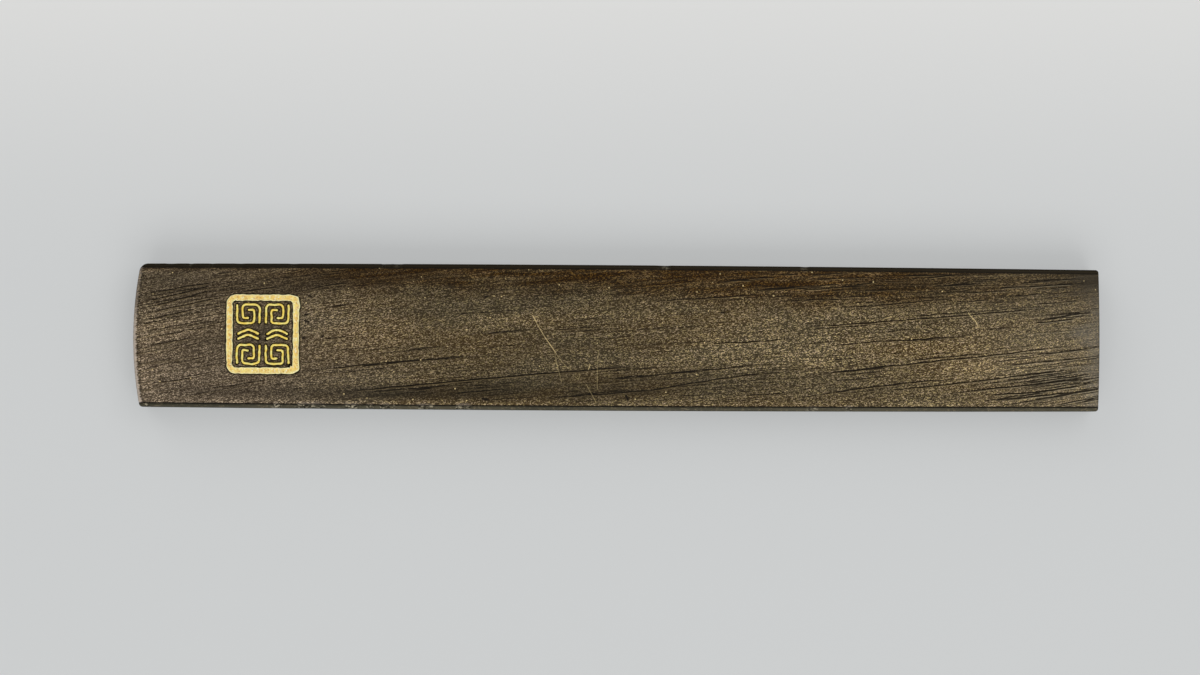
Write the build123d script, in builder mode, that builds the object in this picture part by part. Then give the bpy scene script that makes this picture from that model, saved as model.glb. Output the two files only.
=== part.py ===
"""Flat hollow handle of a small knife (a kozuka), made in the form of an ink stick.

Sheet copper alloy: a folded channel for the back and long sides, a domed face plate let in between
them, a butt cap, and a mouth plate with the slot that takes the knife's tang, all silver-soldered.
A gold border and twelve gold wires are hammered into grooves in the face plate.

Millimetres. The handle lies on its back: X along it from butt to mouth, Y across it, +Z out of the
face. The origin is under its middle, on the plane that it rests on.
"""

import os
from math import sqrt

from build123d import *

# Whole handle
length = 97.0
butt_width = 14.42
belly_width = 14.64
mouth_width = 14.22
belly_x = -16.0
butt_radius = 40.0
mouth_radius = 300.0
thickness = 5.5

# Sheet and plates
sheet = 0.4
wall_height = 5.0
fold_radius = 0.9
rim_radius = 0.18
face_underside = 4.2
crown_radius = 82.0
face_edge_chamfer = 0.16
end_plate = 0.8
bead = 0.4
bead_chamfer = 0.25

# Corners of the plan
worn_corner = 0.75
butt_corner = 0.3
mouth_corner = 0.3

# Slot in the mouth plate for the knife's tang
slot_width = 9.6
slot_height = 2.4
slot_corner = 0.5

# Seal inlaid in the face
seal_x = -35.5
seal_y = 0.15
seal_length = 7.3
seal_width = 7.96
border_bar = 0.64
border_outer_radius = 0.95
border_inner_radius = 0.42
groove_depth = 0.32
inlay_proud = 0.05

# Wires of the seal: a double fret in each quarter, and two pairs of nested chevrons between them
wire_width = 0.22
wire_corner = 0.12
fret_x = 1.45
fret_y = 2.03
fret_half_length = 1.13
fret_half_width = 0.95
fret_step = 0.54
fret_tip = 0.06
chevron_half_length = 1.08
chevron_rise = 0.5
chevron_spacing = 0.52

# Construction margins, larger than the handle so that cutting solids pass right through it
overrun = 2.0
beyond = 10.0

butt_x = -length / 2
mouth_x = length / 2
inner_fold_radius = fold_radius - sheet
groove_floor = thickness - groove_depth
stations = {butt_x: butt_width / 2, belly_x: belly_width / 2, mouth_x: mouth_width / 2}


def half_width(x):
    """Half the handle's width at x, on the parabola through the butt, belly and mouth widths."""
    total = 0.0
    for here, half in stations.items():
        share = half
        for other in stations:
            if other != here:
                share *= (x - other) / (here - other)
        total += share
    return total


def rise(radius, reach):
    """How far an arc of that radius falls away from its crown, reach to the side of it."""
    return radius - sqrt(radius**2 - reach**2)


def side_band(inset):
    """Plan of the strip between the long sides, set in by inset, running past both ends."""
    reach = length / 2 + overrun
    upper = [(x, half_width(x) - inset) for x in (-reach, 0, reach)]
    lower = [(x, -y) for x, y in reversed(upper)]
    with BuildSketch() as band:
        with BuildLine():
            ThreePointArc(*upper)
            Line(upper[-1], lower[0])
            ThreePointArc(*lower)
            Line(lower[-1], upper[0])
        make_face()
    return band.sketch


def end_blank(butt_inset, mouth_inset):
    """Plan bounded by the butt's curve and the mouth's slight bow, wider than the handle."""
    butt_tip, mouth_tip = butt_x + butt_inset, mouth_x - mouth_inset
    butt_ends = butt_tip + rise(butt_radius, beyond)
    mouth_ends = mouth_tip - rise(mouth_radius, beyond)
    with BuildSketch() as blank:
        with BuildLine():
            ThreePointArc((butt_ends, -beyond), (butt_tip, 0), (butt_ends, beyond))
            Line((butt_ends, beyond), (mouth_ends, beyond))
            ThreePointArc((mouth_ends, beyond), (mouth_tip, 0), (mouth_ends, -beyond))
            Line((mouth_ends, -beyond), (butt_ends, -beyond))
        make_face()
    return blank.sketch


def prism(plan, low, high):
    """The plan raised between two heights."""
    with BuildPart() as solid:
        add(Plane.XY.offset(low) * plan)
        extrude(amount=high - low)
    return solid.part


def handle_block():
    """The full plan with its corners rounded, raised past the handle's thickness."""
    with BuildSketch() as plan:
        add(side_band(0))
        add(end_blank(0, 0), mode=Mode.INTERSECT)
        butt_low, butt_high = plan.vertices().group_by(Axis.X)[0].sort_by(Axis.Y)
        fillet(butt_high, worn_corner)
        fillet(butt_low, butt_corner)
        fillet(plan.vertices().group_by(Axis.X)[-1], mouth_corner)
    return prism(plan.sketch, -overrun, thickness + overrun)


def folded_band(inset, low, high, radius):
    """The strip between the long sides as a bar, its two lower long edges rounded."""
    with BuildPart() as bar:
        add(prism(side_band(inset), low, high))
        fillet(bar.faces().sort_by(Axis.Z)[0].edges().filter_by(GeomType.CIRCLE), radius)
    return bar.part


def under_crown(lift):
    """Everything below the domed face, raised by lift."""
    crown = thickness + lift
    side = crown - rise(crown_radius, beyond)
    with BuildPart() as below:
        with BuildSketch(Plane.YZ.offset(butt_x - overrun)):
            with BuildLine():
                ThreePointArc((-beyond, side), (0, crown), (beyond, side))
                Polyline((beyond, side), (beyond, 0), (-beyond, 0), (-beyond, side))
            make_face()
        extrude(amount=length + 2 * overrun)
    return below.part


def end_slab(near_butt, start, depth):
    """A slice across the handle that keeps the curve of its end, from start inwards by depth."""
    if near_butt:
        outer, inner = end_blank(start, 0), end_blank(start + depth, 0)
    else:
        outer, inner = end_blank(0, start), end_blank(0, start + depth)
    with BuildSketch() as plan:
        add(outer)
        add(inner, mode=Mode.SUBTRACT)
    return prism(plan.sketch, -overrun, thickness + overrun)


def seal_wires():
    """Centre lines of the twelve wires, as corner points about the seal's middle."""
    a, b, step = fret_half_length, fret_half_width, fret_step
    hook = [(-a, -b), (-a, b), (a - step, b), (a - step, step - b), (-fret_tip, step - b)]
    lines = []
    for column in (-1, 1):
        for row in (-1, 1):
            # A fret is two hooks, each the other turned by half a turn.
            for turn in (-1, 1):
                lines.append(
                    [(column * (fret_x + turn * x), row * (fret_y + turn * y)) for x, y in hook]
                )
            middle_x, foot_y = column * fret_x, (row * chevron_spacing - chevron_rise) / 2
            lines.append(
                [
                    (middle_x - chevron_half_length, foot_y),
                    (middle_x, foot_y + chevron_rise),
                    (middle_x + chevron_half_length, foot_y),
                ]
            )
    return lines


def inlay_of(plan):
    """A piece of inlay with that plan, from the groove's floor to just proud of the domed face."""
    with BuildPart() as piece:
        add(prism(plan, groove_floor, thickness + overrun))
        add(face_top, mode=Mode.INTERSECT)
    return piece.part


def write(part, name):
    """Labels one piece and writes its STEP file."""
    part.label = name
    export_step(part, f"parts/{name}.step")


os.makedirs("parts", exist_ok=True)

block = handle_block()
cavity = folded_band(sheet, sheet, face_underside, inner_fold_radius)
open_channel = folded_band(sheet, sheet, thickness + overrun, inner_fold_radius)
face_top = under_crown(inlay_proud)

# Folded sheet: back and both long sides, open at the ends and at the face
with BuildPart() as back_channel:
    add(folded_band(0, 0, wall_height, fold_radius))
    fillet(back_channel.faces().sort_by(Axis.Z)[-1].edges().filter_by(GeomType.CIRCLE), rim_radius)
    add(open_channel, mode=Mode.SUBTRACT)
    add(block, mode=Mode.INTERSECT)
write(back_channel.part, "back_channel")

# Cap that closes the butt, between the channel's walls and under the face plate
with BuildPart() as butt_cap:
    add(cavity)
    add(end_slab(True, 0, end_plate), mode=Mode.INTERSECT)
    add(block, mode=Mode.INTERSECT)
write(butt_cap.part, "butt_cap")

# Plate that closes the mouth, with the slot for the knife's tang
with BuildPart() as mouth_plate:
    add(cavity)
    add(end_slab(False, 0, end_plate), mode=Mode.INTERSECT)
    add(block, mode=Mode.INTERSECT)
    with BuildSketch(Plane.YZ.offset(mouth_x + overrun)):
        with Locations((0, (sheet + face_underside) / 2)):
            RectangleRounded(slot_width, slot_height, slot_corner)
    extrude(amount=-(end_plate + 2 * overrun), mode=Mode.SUBTRACT)
write(mouth_plate.part, "mouth_plate")

# Gold border of the seal: one rounded square ring
with BuildSketch() as border_plan:
    with Locations((seal_x, seal_y)):
        RectangleRounded(seal_length, seal_width, border_outer_radius)
        RectangleRounded(
            seal_length - 2 * border_bar,
            seal_width - 2 * border_bar,
            border_inner_radius,
            mode=Mode.SUBTRACT,
        )
seal_border = inlay_of(border_plan.sketch)
write(seal_border, "seal_border")

# Gold wires of the seal
wire_plans = []
for corners in seal_wires():
    with BuildSketch() as wire_plan:
        with BuildLine() as wire_line:
            FilletPolyline(*[(seal_x + x, seal_y + y) for x, y in corners], radius=wire_corner)
        trace(wire_line.line, line_width=wire_width)
    wire_plans.append(wire_plan.sketch)

for number, wire_plan in enumerate(wire_plans, start=1):
    write(inlay_of(wire_plan), f"seal_wire_{number:02d}")

# Domed face plate, let in between the walls, with the grooves that hold the gold
with BuildPart() as front_plate:
    add(prism(side_band(sheet), face_underside, thickness + overrun))
    add(under_crown(0), mode=Mode.INTERSECT)
    add(block, mode=Mode.INTERSECT)
    top_face = front_plate.faces().sort_by(Axis.Z)[-1]
    chamfer(top_face.edges(), face_edge_chamfer)
    for groove in [border_plan.sketch, *wire_plans]:
        add(prism(groove, groove_floor, thickness + overrun), mode=Mode.SUBTRACT)
write(front_plate.part, "front_plate")

# Solder beads along the inner corners: one round each end plate, one under each long side
for name, near_butt in (("butt_solder_bead", True), ("mouth_solder_bead", False)):
    ring_hole = folded_band(sheet + bead, sheet + bead, face_underside - bead, inner_fold_radius)
    with BuildPart() as end_bead:
        add(cavity)
        add(end_slab(near_butt, end_plate, bead), mode=Mode.INTERSECT)
        add(ring_hole, mode=Mode.SUBTRACT)
    write(end_bead.part, name)

between_beads = prism(end_blank(end_plate + bead, end_plate + bead), 0, thickness)
bead_strip = prism(side_band(sheet + bead), 0, thickness)
for name, side in (("upper_solder_bead", 1), ("lower_solder_bead", -1)):
    with BuildPart() as long_bead:
        add(prism(side_band(sheet), face_underside - bead, face_underside))
        add(bead_strip, mode=Mode.SUBTRACT)
        add(between_beads, mode=Mode.INTERSECT)
        split(bisect_by=Plane.XZ, keep=Keep.TOP if side < 0 else Keep.BOTTOM)
        inner_edge = long_bead.edges().filter_by(GeomType.CIRCLE).group_by(Axis.Z)[0]
        chamfer(inner_edge.sort_by(lambda edge: side * edge.center().Y)[0], bead_chamfer)
    write(long_bead.part, name)
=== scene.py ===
"""Looks of the ink stick shaped knife handle: its detailed meshes, materials, light and camera."""

import math
import random

import bmesh
import bpy
import numpy as np
from mathutils import Euler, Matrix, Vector


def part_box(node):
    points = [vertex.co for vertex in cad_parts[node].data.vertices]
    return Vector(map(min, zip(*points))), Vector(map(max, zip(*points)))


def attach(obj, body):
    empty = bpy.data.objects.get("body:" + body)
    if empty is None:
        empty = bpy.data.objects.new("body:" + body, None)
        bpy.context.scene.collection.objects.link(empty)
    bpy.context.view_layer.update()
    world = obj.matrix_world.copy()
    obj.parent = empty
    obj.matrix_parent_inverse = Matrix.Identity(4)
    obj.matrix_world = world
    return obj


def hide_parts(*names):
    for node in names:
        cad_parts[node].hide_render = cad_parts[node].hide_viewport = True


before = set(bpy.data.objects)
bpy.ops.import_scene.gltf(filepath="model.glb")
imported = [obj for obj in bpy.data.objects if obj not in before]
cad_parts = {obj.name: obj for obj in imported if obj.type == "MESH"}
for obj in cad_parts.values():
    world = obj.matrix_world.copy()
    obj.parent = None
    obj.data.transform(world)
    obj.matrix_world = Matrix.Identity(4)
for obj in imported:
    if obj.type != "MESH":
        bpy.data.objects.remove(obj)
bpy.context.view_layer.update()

MM = 0.001

# ---- Sizes in millimetres: from the frame where its boxes give them, or repeated from the design


def box_mm(node):
    """Lowest and highest corner of a CAD node, in millimetres."""
    low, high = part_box(node)
    return np.array(low) / MM, np.array(high) / MM


channel_low, channel_high = box_mm("back_channel")
plate_low, plate_high = box_mm("front_plate")
border_low, border_high = box_mm("seal_border")

BUTT_X, MOUTH_X = channel_low[0], channel_high[0]
WALL_TOP = channel_high[2]
FACE_UNDERSIDE, CROWN = plate_low[2], plate_high[2]
SHEET = box_mm("butt_cap")[0][2]
GOLD_BOTTOM, GOLD_TOP = border_low[2], border_high[2]

BELLY_X = -16.0
BUTT_WIDTH, BELLY_WIDTH, MOUTH_WIDTH = 14.42, 14.64, 14.22
BUTT_RADIUS, MOUTH_RADIUS = 40.0, 300.0
WORN_CORNER, BUTT_CORNER, MOUTH_CORNER = 0.75, 0.3, 0.3
CROWN_RADIUS = 82.0
FOLD_RADIUS, RIM_RADIUS = 0.9, 0.18
END_PLATE = 0.8
SLOT_WIDTH, SLOT_HEIGHT, SLOT_CORNER = 9.6, 2.4, 0.5
BORDER_BAR = 0.64
WIRE_WIDTH = 0.22

# Details that only the visible meshes have
FACE_ROUND = 0.2
SEAM_DIRT = 0.08
SEAL_MARGIN = 0.35
SHARP_ANGLE, WORN_EDGE_ANGLE = 50, 40
WORN_EDGE, SLOT_WORN_EDGE = 0.05, 0.07
GROOVE_EDGE, GOLD_SHADE_REACH = 0.1, 0.16
BORDER_SUNK, WIRE_SUNK = 0.012, 0.01

# Further than any gap or depth on the handle
FAR = 9.0

SIDE_CURVE = np.polyfit(
    (BUTT_X, BELLY_X, MOUTH_X), (BUTT_WIDTH / 2, BELLY_WIDTH / 2, MOUTH_WIDTH / 2), 2
)


def half_width(x):
    """Half the handle's width at x."""
    return np.polyval(SIDE_CURVE, x)


def rise(radius, reach):
    """How far an arc of that radius falls away from its crown, reach to the side of it."""
    return radius - np.sqrt(radius**2 - np.square(reach))


def corner_setback(y, edge, radius):
    """How far a rounded corner of the plan sets its end back at y."""
    over = np.clip(np.abs(y) - (edge - radius), 0, radius)
    return rise(radius, over)


def butt_setback(y):
    """How far the butt lies inside its tip at y: its curve and its two corners."""
    edge = BUTT_WIDTH / 2
    corners = np.where(
        y > 0, corner_setback(y, edge, WORN_CORNER), corner_setback(y, edge, BUTT_CORNER)
    )
    return rise(BUTT_RADIUS, y) + corners


def mouth_setback(y):
    """How far the mouth lies inside its tip at y."""
    return rise(MOUTH_RADIUS, y) + corner_setback(y, MOUTH_WIDTH / 2, MOUTH_CORNER)


END_BLEND = 14.0


def bend_to_ends(x, y):
    """Shifts stations x along the handle so that the first and last follow the curved ends."""
    near_butt = np.clip(1 - (x - BUTT_X) / END_BLEND, 0, 1) ** 2
    near_mouth = np.clip(1 - (MOUTH_X - x) / END_BLEND, 0, 1) ** 2
    return x + near_butt * butt_setback(y) - near_mouth * mouth_setback(y)


def smoothstep(low, high, value):
    """0 below low, 1 above high, smooth between."""
    t = np.clip((value - low) / (high - low), 0, 1)
    return t * t * (3 - 2 * t)


def wander(rng, at, wavelength, amount):
    """A smooth random line of about that wavelength and amplitude, read at the given places."""
    total = np.zeros_like(at)
    for _ in range(4):
        stretch = rng.uniform(0.6, 2.2)
        total += np.sin(at * math.tau * stretch / wavelength + rng.uniform(0, math.tau))
    return total * amount / 2


def spaced(*stretches):
    """Stations along a line: (start, end, spacing) for each stretch, ends meeting."""
    runs = []
    for start, end, spacing in stretches:
        count = max(1, round((end - start) / spacing))
        runs.append(np.linspace(start, end, count, endpoint=False))
    return np.concatenate([*runs, [stretches[-1][1]]])


# ---- Mesh building


def grid_faces(index, closed=False):
    """Quads over a grid of point numbers, joined round in its second direction if closed."""
    if closed:
        index = np.concatenate([index, index[:, :1]], axis=1)
    quads = (index[:-1, :-1], index[1:, :-1], index[1:, 1:], index[:-1, 1:])
    return np.stack(quads, axis=-1).reshape(-1, 4).tolist()


def add_piece(name, points, faces, material, nodes, marks=None, bevel=0.0):
    """A smooth-shaded piece from lists of points in millimetres, in place of the CAD nodes."""
    mesh = bpy.data.meshes.new(name)
    mesh.from_pydata((np.concatenate(points) * MM).tolist(), [], faces)
    for mark, values in (marks or {}).items():
        attribute = mesh.attributes.new(mark, "FLOAT", "POINT")
        attribute.data.foreach_set("value", np.asarray(values, np.float32))
    mesh.materials.append(material)
    shell = bmesh.new()
    shell.from_mesh(mesh)
    bmesh.ops.recalc_face_normals(shell, faces=shell.faces)
    shell.to_mesh(mesh)
    shell.free()
    mesh.shade_smooth()
    mesh.set_sharp_from_angle(angle=math.radians(SHARP_ANGLE))
    piece = bpy.data.objects.new(name, mesh)
    bpy.context.scene.collection.objects.link(piece)
    if bevel:
        edge = piece.modifiers.new("worn_edges", "BEVEL")
        edge.width, edge.segments = bevel * MM, 3
        edge.limit_method, edge.angle_limit = "ANGLE", math.radians(WORN_EDGE_ANGLE)
        edge.harden_normals = True
    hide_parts(*nodes)
    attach(piece, "root")


def rounded_loop(low, high, radii, side_steps, corner_steps=8):
    """Points round a rectangle from its lower left corner, anticlockwise, its corners rounded."""
    arcs = []
    for corner, radius in enumerate(radii):
        centre = (
            high[0] - radius if corner in (1, 2) else low[0] + radius,
            high[1] - radius if corner in (2, 3) else low[1] + radius,
        )
        angles = np.linspace(corner + 2, corner + 3, corner_steps) * math.pi / 2
        arcs.append(centre + radius * np.column_stack([np.cos(angles), np.sin(angles)]))
    loop = []
    for corner, arc in enumerate(arcs):
        side = np.linspace(arc[-1], arcs[(corner + 1) % 4][0], side_steps[corner % 2] + 2)
        loop += [arc, side[1:-1]]
    return np.concatenate(loop)


# ---- Seal: the centre lines of its gold, which the face's grooves follow too

SEAL_X, SEAL_Y = (border_low[:2] + border_high[:2]) / 2
FRET_X, FRET_Y = 1.45, 2.03
FRET_HALF_LENGTH, FRET_HALF_WIDTH = 1.13, 0.95
FRET_STEP, FRET_TIP = 0.54, 0.06
CHEVRON_HALF_LENGTH, CHEVRON_RISE, CHEVRON_SPACING = 1.08, 0.5, 0.52


def seal_wires():
    """Corner points of the twelve wires about the seal's middle, in the order of their nodes."""
    a, b, step = FRET_HALF_LENGTH, FRET_HALF_WIDTH, FRET_STEP
    hook = [(-a, -b), (-a, b), (a - step, b), (a - step, step - b), (-FRET_TIP, step - b)]
    chevron = [(-CHEVRON_HALF_LENGTH, 0), (0, CHEVRON_RISE), (CHEVRON_HALF_LENGTH, 0)]
    lines = []
    for column in (-1, 1):
        for row in (-1, 1):
            for turn in (-1, 1):
                lines.append(
                    [(column * (FRET_X + turn * x), row * (FRET_Y + turn * y)) for x, y in hook]
                )
            middle, foot = column * FRET_X, (row * CHEVRON_SPACING - CHEVRON_RISE) / 2
            lines.append([(middle + x, foot + y) for x, y in chevron])
    return lines


# Share of each straight run that a round of corner cutting takes off its ends
FIRST_CORNER_CUT, CORNER_CUT = 0.16, 0.25


def softened(corners, rounds=3):
    """An open line with its corners cut again and again, so that they end up rounded."""
    line = np.array(corners, float)
    for _ in range(rounds):
        share = CORNER_CUT if len(line) > 9 else FIRST_CORNER_CUT
        start, end = line[:-1], line[1:]
        pairs = np.stack([start + (end - start) * share, end - (end - start) * share], axis=1)
        line = np.concatenate([line[:1], pairs.reshape(-1, 2)[1:-1], line[-1:]])
    return line


def evenly(line, spacing):
    """The line's points at even steps along it."""
    lengths = np.concatenate([[0], np.cumsum(np.linalg.norm(np.diff(line, axis=0), axis=1))])
    at = np.linspace(0, lengths[-1], max(4, round(lengths[-1] / spacing)))
    return np.stack([np.interp(at, lengths, line[:, axis]) for axis in (0, 1)], axis=1), at


def side_of(line, closed=False):
    """Unit vectors to the left of a line at each of its points."""
    if closed:
        along = np.roll(line, -1, axis=0) - np.roll(line, 1, axis=0)
    else:
        along = np.gradient(line, axis=0)
    along /= np.linalg.norm(along, axis=1)[:, None]
    return np.stack([-along[:, 1], along[:, 0]], axis=1)


WIRE_STEP, WIRE_END = 0.05, 0.1


def wire_lines():
    """For each wire, its hand-bent centre line and its half width along it."""
    rng = random.Random(11)
    wires = []
    for corners in seal_wires():
        line, at = evenly(softened(corners), WIRE_STEP)
        line = line + side_of(line) * wander(rng, at, 1.6, 0.022)[:, None]
        half = WIRE_WIDTH / 2 + wander(rng, at, 0.7, 0.012)
        ends = np.minimum(at, at[-1] - at)
        round_end = 1 - np.square(1 - np.clip(ends / WIRE_END, 0, 1))
        half = half * np.sqrt(np.clip(round_end, 0.04, 1))
        wires.append((line + (SEAL_X, SEAL_Y), half))
    return wires


# Burrs hammered out of the border: (angle about the seal's middle in degrees, size, outwards)
BURRS = (
    (47, 0.13, True),
    (40, 0.07, True),
    (-46, 0.16, True),
    (-49, 0.2, False),
    (137, 0.06, True),
)

# How far round the border a burr reaches, in radians, and the border's waviness: how many waves go
# round it, and how far each moves its outer edge; its inner edge takes the distances in reverse
BURR_REACH = 0.035
BORDER_WAVES = (3, 5, 9, 14, 23, 37, 52)
BORDER_SWINGS = (0.012, 0.012, 0.012, 0.012, 0.011, 0.01, 0.009)
BORDER_CORNERS = (0.64, 0.6, 0.66, 0.6)


def border_line():
    """The border's centre line and its half width outwards and inwards of that line."""
    rng = random.Random(5)
    half_size = (border_high[:2] - border_low[:2]) / 2 - BORDER_BAR / 2
    loop = rounded_loop(-half_size, half_size, BORDER_CORNERS, (64, 70), 14)
    turn = np.unwrap(np.arctan2(loop[:, 1], loop[:, 0]))
    share = np.arange(len(loop)) / len(loop)
    waves = [np.sin(math.tau * (share * n + rng.random())) for n in BORDER_WAVES]
    outer = BORDER_BAR / 2 + sum(a * w for a, w in zip(BORDER_SWINGS, waves))
    inner = BORDER_BAR / 2 - 0.01 + sum(a * w for a, w in zip(BORDER_SWINGS[::-1], waves))
    for angle, size, outwards in BURRS:
        away = np.angle(np.exp(1j * (turn - math.radians(angle))))
        burr = size * np.exp(-np.square(away / BURR_REACH))
        if outwards:
            outer = outer + burr
        else:
            inner = inner + burr
    return loop + (SEAL_X, SEAL_Y), outer, inner


WIRES = wire_lines()
BORDER, BORDER_OUT, BORDER_IN = border_line()


def gold_gap(x, y):
    """Distance from each point to the nearest edge of the gold, below 0 inside it."""
    near = np.full(x.shape, FAR)
    for line, half in WIRES:
        for (px, py), reach in zip(line, half):
            near = np.minimum(near, np.hypot(x - px, y - py) - reach)
    normal = -side_of(BORDER, closed=True)
    middle = BORDER + normal * ((BORDER_OUT - BORDER_IN) / 2)[:, None]
    for (px, py), reach in zip(middle, (BORDER_OUT + BORDER_IN) / 2):
        near = np.minimum(near, np.hypot(x - px, y - py) - reach)
    return near


# ---- Grain chiselled into the face

# Where the lines that fan out to the mouth start, the half width of the longest lines, and the
# depth that counts as 1 in the marks that the material reads
FAN_X = 38.0
LINE_HALF_WIDTH = 0.075
MARKED_DEPTH = 0.08

# Wavelength and amount of a line's sway and of the unevenness of its depth
LINE_SWAY, DEPTH_SWAY = (5.0, 0.025), (1.7, 0.25)

# The longest grain lines: the depth of each, then points along it
GRAIN_LINES = (
    (0.055, (-48.2, 4), (-43.2, 4.9), (-39.6, 5.5)),
    (0.065, (-48.1, 3.3), (-44.3, 4.1), (-39.8, 5.3)),
    (0.065, (-48.1, 2.6), (-44, 3.6), (-40.3, 4.7)),
    (0.065, (-48.1, 2), (-43.6, 3), (-38.8, 4)),
    (0.071, (-48, 1.4), (-45, 2), (-41.7, 2.8)),
    (0.045, (-48, 1), (-44.6, 1.7)),
    (0.04, (-48.1, 0.2), (-44, 1), (-40.2, 1.8)),
    (0.045, (-48, -0.5), (-43.5, 0.4), (-39.6, 1.1)),
    (0.045, (-47.9, -1.3), (-45, -0.7), (-41.7, -0.1)),
    (0.035, (-43.6, -1.1), (-39.6, -0.3)),
    (0.036, (-47.6, -3.3), (-43.5, -2.6), (-39.9, -1.9)),
    (0.045, (-47.5, -4.8), (-44, -4.5), (-41.3, -4)),
    (0.038, (-44.6, -4.4), (-39.6, -3.5)),
    (0.041, (-42, -5.5), (-38, -4.9), (-33.9, -4.2)),
    (0.055, (-38.2, 4.3), (-33, 5.1)),
    (0.05, (-31.3, 4.7), (-26.3, 5.5)),
    (0.05, (-29.2, 2.9), (-25.4, 3.4)),
    (0.05, (-29.4, -0.3), (-26.9, 0)),
    (0.065, (-31.6, -3.7), (-26.5, -3), (-15.6, -2), (-13.2, -1.8)),
    (0.05, (-27.5, -3.3), (-21.7, -2.6), (-14.2, -2)),
    (0.085, (-29.6, -5.8), (-21.7, -5), (-5.5, -3.5), (1.3, -2.9), (4.6, -2.7)),
    (0.045, (-26, -5.7), (-15.6, -4.8)),
    (0.045, (-17.4, -5.8), (-10.2, -5.1)),
    (0.05, (-7.8, -6.1), (1.7, -5.4), (6, -5)),
    (0.055, (-3, -4.2), (4, -3.7), (11.5, -3)),
    (0.06, (1.3, -5.6), (6, -4.8), (11.5, -3.9), (16.5, -3.3)),
    (0.05, (4.4, -3.5), (9.8, -3.1), (14.6, -2.6)),
    (0.045, (-13.6, 0.3), (-9.8, 0.7)),
    (0.045, (-6.8, 0.7), (-0.8, 1.2)),
    (0.035, (-17.4, 2.2), (-8.5, 2.8)),
    (0.035, (-14.2, -1.2), (-8.9, -0.7)),
    (0.055, (2.3, 3.6), (7, 3.9), (15.6, 4.5)),
    (0.065, (8.6, -0.5), (14.1, -0.3), (18.2, 0.1)),
    (0.065, (16.5, 1), (22.4, 1.4), (30.1, 2.1), (34.8, 2.4), (40.5, 3), (45.8, 3.5)),
    (0.04, (18, 0.8), (27, 1.6)),
    (0.05, (29, 2.3), (37, 2.9)),
    (0.055, (19.7, -1), (26.7, -0.2), (33.3, -0.1)),
    (0.075, (17.8, -3.9), (23.7, -3.1), (31.4, -2.2), (36.5, -1.8), (40.5, -1.1), (47.6, -0.2)),
    (0.055, (28.4, -2.2), (33.5, -1.7), (38.5, -1.2)),
    (0.06, (16.5, -6.3), (21.6, -5.4), (27.1, -4.6), (35.6, -3.9)),
    (0.075, (25.6, -5.2), (34.8, -4.3), (41.8, -3.4), (47.5, -2.7)),
    (0.09, (33, -5.4), (39.4, -4.7), (48.2, -3.7)),
    (0.085, (36.4, -5.5), (42.8, -5.1), (48.2, -4.2)),
    (0.085, (36.4, -6.1), (41.5, -5.7), (48.2, -4.8)),
    (0.05, (42.2, -1.5), (47.9, -0.8)),
    (0.055, (38, -2.7), (48, -1.6)),
    (0.065, (42.6, 2.1), (48.2, 2.9)),
    (0.07, (41.5, 1.7), (46.6, 2.2)),
    (0.045, (43, 2.4), (47.4, 2.9)),
    (0.065, (36.7, 5.1), (39.8, 5.3), (47.8, 5.8)),
    (0.055, (20.3, 5.1), (24.5, 5.5), (27.5, 6)),
    (0.06, (30.5, 6.1), (34.5, 6.6)),
    (0.05, (22.2, 3.1), (26, 3.4), (31.7, 3.9)),
)

# Bundles of shorter lines: (x range, y range, how many, depth, half width, mean length)
BUNDLES = (
    ((-48.3, -40), (1.2, 4.8), 30, 0.035, 0.055, 5.5),
    ((-48.3, -40.5), (-2.6, 1.2), 20, 0.028, 0.055, 4.5),
    ((-48, -32), (-6, -2.5), 30, 0.026, 0.06, 4.5),
    ((-40, -28), (4.2, 6.4), 22, 0.03, 0.06, 4),
    ((-32, -14), (-6.2, -1), 40, 0.036, 0.06, 5),
    ((-30, -6), (0.5, 5.5), 44, 0.03, 0.055, 4),
    ((-28, 12), (-1.5, 4.2), 16, 0.034, 0.05, 8),
    ((-14, 16), (-6.4, -2.4), 50, 0.036, 0.06, 5.5),
    ((-12, 16), (-1.5, 4.5), 46, 0.03, 0.055, 4),
    ((14, 34), (-5.8, 1.8), 56, 0.036, 0.06, 5),
    ((12, 46), (3.6, 6.6), 80, 0.045, 0.06, 4.5),
    ((38, 48.3), (0.8, 3.4), 14, 0.045, 0.052, 5),
    ((38, 48.3), (-2.8, -0.6), 14, 0.045, 0.052, 6),
    ((39, 48.3), (-6.6, -3), 38, 0.06, 0.052, 6),
)


def grain_slope(x, y):
    """The grain's slope: steepest at the butt, flattest past the middle, fanned at the mouth."""
    fan = -0.009 * y * np.clip((x - 12) / 24, 0, 1)
    return 0.066 + 4.2e-5 * (x - 8) ** 2 + fan


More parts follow.
